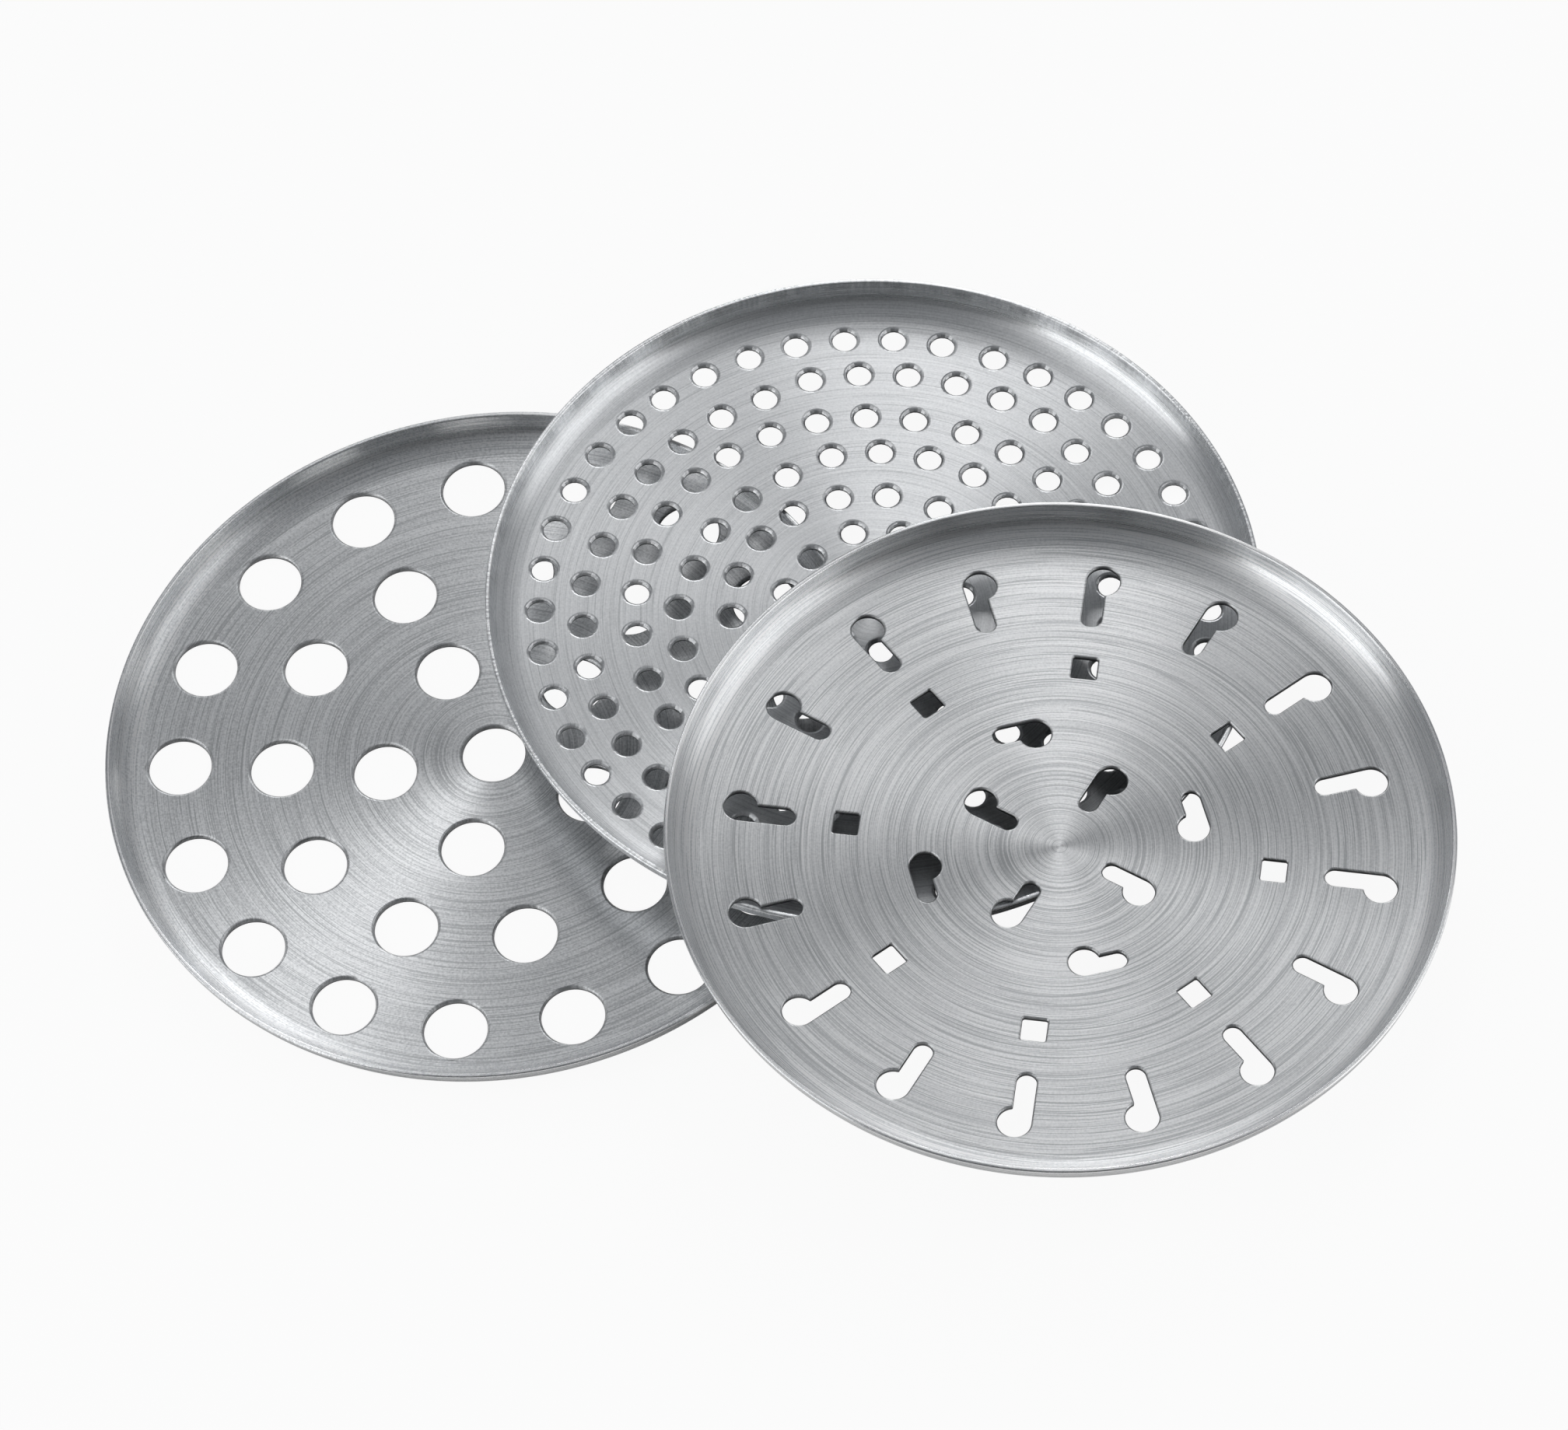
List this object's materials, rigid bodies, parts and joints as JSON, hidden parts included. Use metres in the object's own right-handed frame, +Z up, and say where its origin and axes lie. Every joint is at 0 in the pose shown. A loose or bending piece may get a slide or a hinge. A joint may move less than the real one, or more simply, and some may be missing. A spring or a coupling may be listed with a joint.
{
  "type": "food mill disc set",
  "caption": "Loose set of shallow pressed stainless steel food mill discs with raised rims: coarse round holes, medium round holes, and keyhole slots with square holes.",
  "frame": {"origin": "middle of the pile's bounding box, on the table that the coarse disc lies on", "axes": "+Z up from the table; +X towards the keyhole disc, along the pile's longest side; +Y away from the side that the keyhole disc lies on"},
  "size_m": [0.2534, 0.2128, 0.0263],
  "materials": {
    "turned_steel": "concentric turned grain, semi-bright",
    "satin_steel": "fine concentric satin grain"
  },
  "bodies": {
    "coarse_body": {"coarse_disc": "turned_steel"},
    "medium_body": {"medium_disc": "satin_steel"},
    "keyhole_body": {"keyhole_disc": "turned_steel"}
  },
  "joints": [
    {"name": "medium_lift", "type": "slide", "parent": "coarse_body", "child": "medium_body", "axis": [0, 0, 1], "range_m": [0, 0.06]},
    {"name": "keyhole_lift", "type": "slide", "parent": "medium_body", "child": "keyhole_body", "axis": [0, 0, 1], "range_m": [0, 0.06]}
  ]
}
